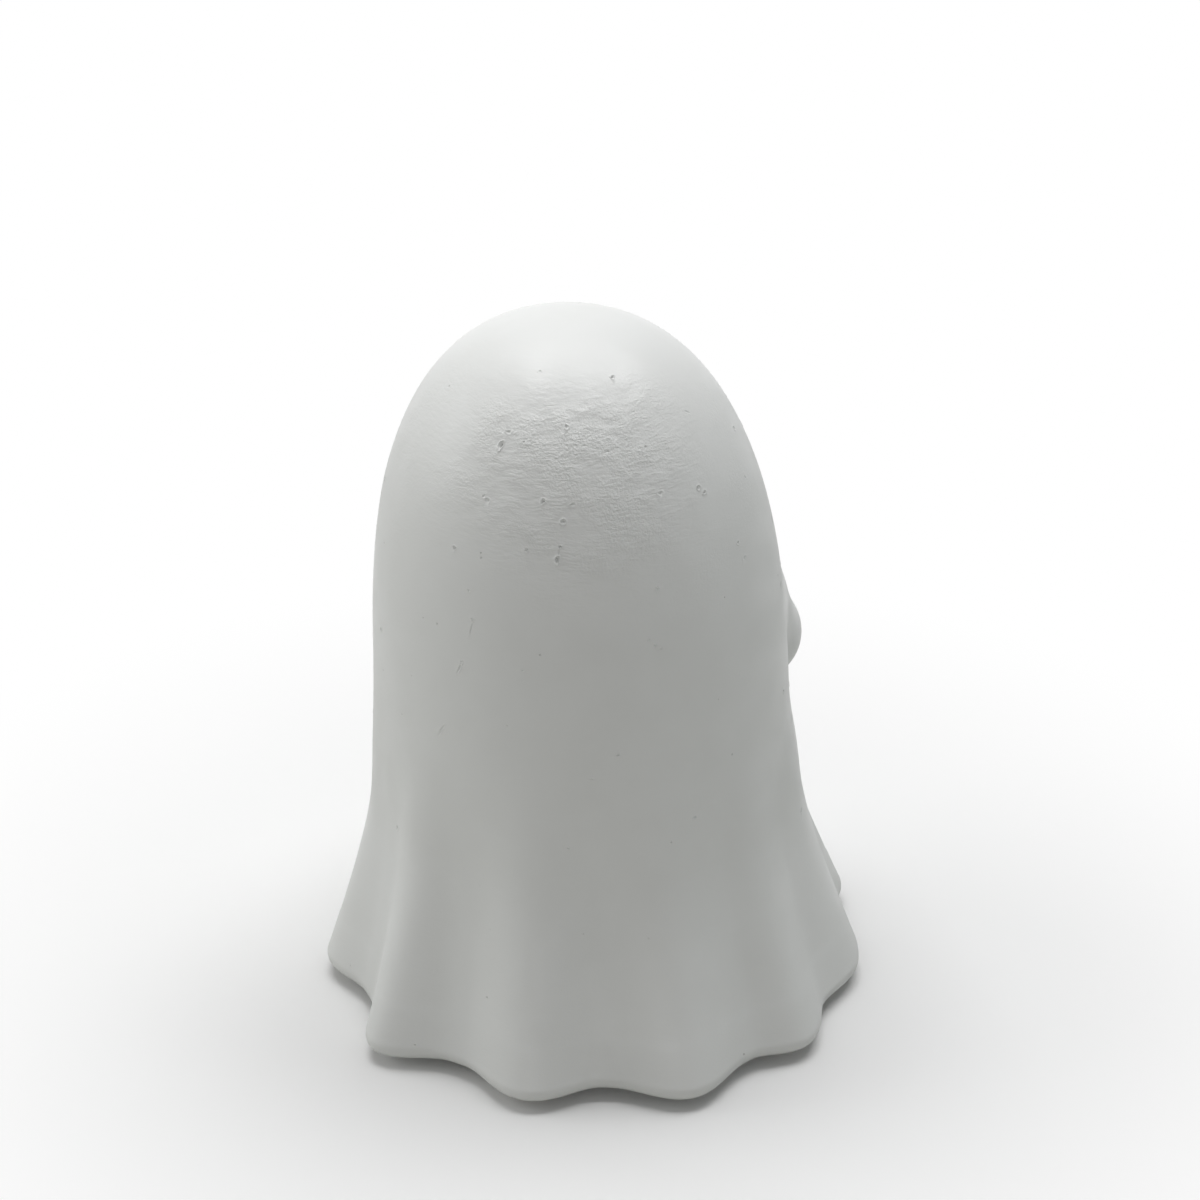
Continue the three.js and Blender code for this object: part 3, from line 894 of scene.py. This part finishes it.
# Eyes and mouth
# Three domed ovals of glossy black plastic with flat backs, glued into their sockets with a thin
# line of glue round each.
RIM = 0.0016
CROWN = 0.0015
BACK_EDGE = 0.00025
FACE_PIECE_COLUMNS = 72
FACE_PIECE_RINGS = 36
BACK_RINGS = (0.8, 0.55, 0.3)
SHARP_EDGE = math.radians(40)
BLACK = (0.006, 0.006, 0.0065, 1)
BLACK_CLOUDED = (0.011, 0.0105, 0.01, 1)
DUST_ON_BLACK = (0.20, 0.195, 0.18, 1)
CLOUD_SIZE = 0.003
DUST_SPECK_SIZE = 0.00016
DUST_COVER = 0.22
DUST_SHARE = 0.2
DUST_ROUGHNESS = 0.3
BLACK_SPECULAR = 0.35
BLACK_SMOOTHEST = 0.10
BLACK_ROUGHEST = 0.17
RIPPLE_SIZE = 0.0022
RIPPLE_STRENGTH = 0.35
RIPPLE_HEIGHT = 0.00006

face_black, tree, shader = new_material("glossy black")
place = add_node(tree, "ShaderNodeTexCoord").outputs["Object"]
cloudy = use_group(tree, mottle, {"Place": place, "Size": CLOUD_SIZE, "Seed": 4.0})["Mottle"]
speck = {"Place": place, "Speck": DUST_SPECK_SIZE, "Share": DUST_COVER}
specks = use_group(tree, dust, speck)["Dust"]
colour = blend_colours(tree, cloudy, BLACK, BLACK_CLOUDED)
colour = blend_colours(tree, calculate(tree, "MULTIPLY", specks, DUST_SHARE), colour, DUST_ON_BLACK)
tree.links.new(colour, shader.inputs["Base Color"])
shader.inputs["Specular IOR Level"].default_value = BLACK_SPECULAR
roughness = ramp(tree, cloudy, 0.0, 1.0, BLACK_SMOOTHEST, BLACK_ROUGHEST)
roughness = calculate(tree, "ADD", roughness, calculate(tree, "MULTIPLY", specks, DUST_ROUGHNESS))
tree.links.new(roughness, shader.inputs["Roughness"])
ripple = noise(tree, place, 1 / RIPPLE_SIZE, 1.0, 0.4, 6.0)
ripples = {"Height": ripple, "Strength": RIPPLE_STRENGTH, "Distance": RIPPLE_HEIGHT}
bump = add_node(tree, "ShaderNodeBump", ripples)
tree.links.new(bump.outputs["Normal"], shader.inputs["Normal"])

for name, (width, length, sideways, height) in face_pieces.items():
    centre, (across, upward, outward) = face_place(sideways, height)
    bpy.ops.object.select_all(action="DESELECT")
    bpy.ops.mesh.primitive_uv_sphere_add(
        segments=FACE_PIECE_COLUMNS,
        ring_count=FACE_PIECE_RINGS,
        radius=1,
    )
    piece = bpy.context.object
    piece.name = "glossy_" + name
    bpy.ops.object.mode_set(mode="EDIT")
    bpy.ops.mesh.bisect(plane_co=(0, 0, 0), plane_no=(0, 0, 1), clear_inner=True)
    bpy.ops.object.mode_set(mode="OBJECT")
    piece.scale = (width / 2, length / 2, CROWN)
    piece.location = (0, 0, RIM)
    bpy.ops.object.transform_apply(location=True, rotation=True, scale=True)
    bpy.ops.object.mode_set(mode="EDIT")
    bpy.ops.mesh.select_mode(type="EDGE")
    bpy.ops.mesh.select_all(action="DESELECT")
    bpy.ops.mesh.select_non_manifold()
    down_the_rim = ((0, 0, BACK_EDGE - RIM), 1.0)
    round_the_back_edge = ((0, 0, -BACK_EDGE), 1 - 2 * BACK_EDGE / width)
    for move, shrink in (down_the_rim, round_the_back_edge):
        bpy.ops.mesh.extrude_region_move(TRANSFORM_OT_translate={"value": move})
        bpy.ops.transform.resize(value=(shrink, shrink, 1))
    for shrink in BACK_RINGS:
        bpy.ops.mesh.extrude_region_move()
        bpy.ops.transform.resize(value=(shrink, shrink, 1))
    bpy.ops.mesh.edge_face_add()
    bpy.ops.mesh.select_all(action="SELECT")
    bpy.ops.mesh.normals_make_consistent(inside=False)
    bpy.ops.object.mode_set(mode="OBJECT")
    bpy.ops.object.shade_smooth_by_angle(angle=SHARP_EDGE)
    seat = centre - (SOCKET_DEPTH - GLUE_GAP) * outward
    directions = Matrix([list(across), list(upward), list(outward)]).transposed()
    piece.matrix_world = Matrix.Translation(seat) @ directions.to_4x4()
    bpy.ops.object.transform_apply(location=True, rotation=True, scale=True)
    piece.data.materials.clear()
    piece.data.materials.append(face_black)
    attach(piece, "root")
    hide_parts(name)


# Felt pads
# Five discs punched from pressed wool felt, glued under every second fold of the hem so that the
# casting doesn't scratch a shelf.
PAD_COUNT = 5
FELT_COLUMNS = 96
FELT_LAYERS = 7
FELT_ROUNDING = 0.00035
DISC_MIDDLE = 0.15
DISC_RINGS = (0.3, 0.45, 0.6, 0.75, 0.9)
FUZZ = 0.00012
TANGLE_SIZE = 0.0007
FELT_DARK = (0.36, 0.33, 0.285, 1)
FELT_LIGHT = (0.60, 0.56, 0.49, 1)
FELT_TUFT = (0.42, 0.385, 0.33, 1)
FELT_DUST = (0.7, 0.68, 0.64, 1)
FIBRE_FINE = 9000
FIBRE_LONG = 2600
FIBRE_UP = 6000
TUFT_SIZE = 0.0012
TUFT_SHARE = 0.3
TUFT_RELIEF = 0.4
FELT_SPECK_SIZE = 0.0003
FELT_SPECK_COVER = 0.2
FELT_SPECK_SHARE = 0.3
FELT_ROUGHNESS = 0.95
FELT_SPECULAR = 0.2
FELT_SHEEN = 0.35
FELT_SHEEN_ROUGHNESS = 0.6
FELT_RELIEF = 0.00025

felt, tree, shader = new_material("pressed felt")
place = add_node(tree, "ShaderNodeTexCoord").outputs["Object"]
one_way = stretched(tree, place, (FIBRE_FINE, FIBRE_LONG, FIBRE_UP))
fibres = noise(tree, one_way, 1.0, 3.0, 0.7, 1.0)
other_way = stretched(tree, place, (FIBRE_LONG, FIBRE_FINE, FIBRE_UP))
crossing = noise(tree, other_way, 1.0, 3.0, 0.7, 2.0)
wool = calculate(tree, "MAXIMUM", fibres, crossing)
tufts = use_group(tree, mottle, {"Place": place, "Size": TUFT_SIZE, "Seed": 7.0})["Mottle"]
colour = blend_colours(tree, ramp(tree, wool, 0.45, 0.75), FELT_DARK, FELT_LIGHT)
colour = blend_colours(tree, calculate(tree, "MULTIPLY", tufts, TUFT_SHARE), colour, FELT_TUFT)
speck = {"Place": place, "Speck": FELT_SPECK_SIZE, "Share": FELT_SPECK_COVER}
settled = use_group(tree, dust, speck)["Dust"]
colour = blend_colours(tree, calculate(tree, "MULTIPLY", settled, FELT_SPECK_SHARE), colour, FELT_DUST)
tree.links.new(colour, shader.inputs["Base Color"])
shader.inputs["Roughness"].default_value = FELT_ROUGHNESS
shader.inputs["Specular IOR Level"].default_value = FELT_SPECULAR
shader.inputs["Sheen Weight"].default_value = FELT_SHEEN
shader.inputs["Sheen Roughness"].default_value = FELT_SHEEN_ROUGHNESS
woolly = calculate(tree, "ADD", wool, calculate(tree, "MULTIPLY", tufts, TUFT_RELIEF))
bump = add_node(tree, "ShaderNodeBump", {"Height": woolly, "Strength": 1.0, "Distance": FELT_RELIEF})
tree.links.new(bump.outputs["Normal"], shader.inputs["Normal"])

# One disc is shaped ring by ring, from the middle of its underside round to the middle of its top
pad_names = [f"felt_pad_{number}" for number in range(1, PAD_COUNT + 1)]
pad_low, pad_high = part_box(pad_names[0])
pad_radius = (pad_high.x - pad_low.x) / 2
pad_thickness = pad_high.z - pad_low.z
layer = (pad_thickness - 2 * FELT_ROUNDING) / FELT_LAYERS
radius = pad_radius * DISC_MIDDLE
level = 0.0
bpy.ops.object.select_all(action="DESELECT")
bpy.ops.mesh.primitive_circle_add(vertices=FELT_COLUMNS, radius=radius, fill_type="NGON")
pattern = bpy.context.object
pattern.name = "felt_disc"
bpy.ops.object.mode_set(mode="EDIT")
bpy.ops.mesh.select_all(action="SELECT")
bpy.ops.mesh.flip_normals()
bpy.ops.mesh.select_mode(type="EDGE")
bpy.ops.mesh.select_all(action="DESELECT")
bpy.ops.mesh.select_non_manifold()
flat_radius = pad_radius - FELT_ROUNDING
profile = [(flat_radius * share, 0.0) for share in DISC_RINGS + (1.0,)]
for turn in QUARTER_ROUND:
    outset = FELT_ROUNDING * math.sin(turn)
    profile.append((flat_radius + outset, FELT_ROUNDING * (1 - math.cos(turn))))
for number in range(1, FELT_LAYERS + 1):
    profile.append((pad_radius, FELT_ROUNDING + number * layer))
for turn in np.radians([60, 30, 0]):
    outset = FELT_ROUNDING * math.sin(turn)
    profile.append((flat_radius + outset, pad_thickness - FELT_ROUNDING * (1 - math.cos(turn))))
profile += [(flat_radius * share, pad_thickness) for share in DISC_RINGS[::-1] + (DISC_MIDDLE,)]
for next_radius, next_level in profile:
    bpy.ops.mesh.extrude_region_move(TRANSFORM_OT_translate={"value": (0, 0, next_level - level)})
    bpy.ops.transform.resize(value=(next_radius / radius, next_radius / radius, 1))
    radius = next_radius
    level = next_level
bpy.ops.mesh.edge_face_add()
bpy.ops.mesh.select_all(action="SELECT")
bpy.ops.mesh.normals_make_consistent(inside=False)
bpy.ops.object.mode_set(mode="OBJECT")
bpy.ops.object.shade_smooth()

tangle = bpy.data.textures.new("wool tangle", "CLOUDS")
tangle.noise_scale = TANGLE_SIZE
tangle.noise_depth = 3
for name in pad_names:
    low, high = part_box(name)
    bpy.ops.object.select_all(action="DESELECT")
    pad = bpy.data.objects.new("pressed_" + name, pattern.data.copy())
    bpy.context.collection.objects.link(pad)
    pad.location = ((low.x + high.x) / 2, (low.y + high.y) / 2, low.z)
    pad.select_set(True)
    bpy.context.view_layer.objects.active = pad
    bpy.ops.object.transform_apply(location=True, rotation=True, scale=True)
    fuzzy = pad.modifiers.new("fuzz", "DISPLACE")
    fuzzy.texture = tangle
    fuzzy.texture_coords = "LOCAL"
    fuzzy.mid_level = 0
    fuzzy.strength = -FUZZ
    bpy.ops.object.modifier_apply(modifier="fuzz")
    pad.data.materials.clear()
    pad.data.materials.append(felt)
    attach(pad, "root")
    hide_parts(name)
bpy.data.objects.remove(pattern)
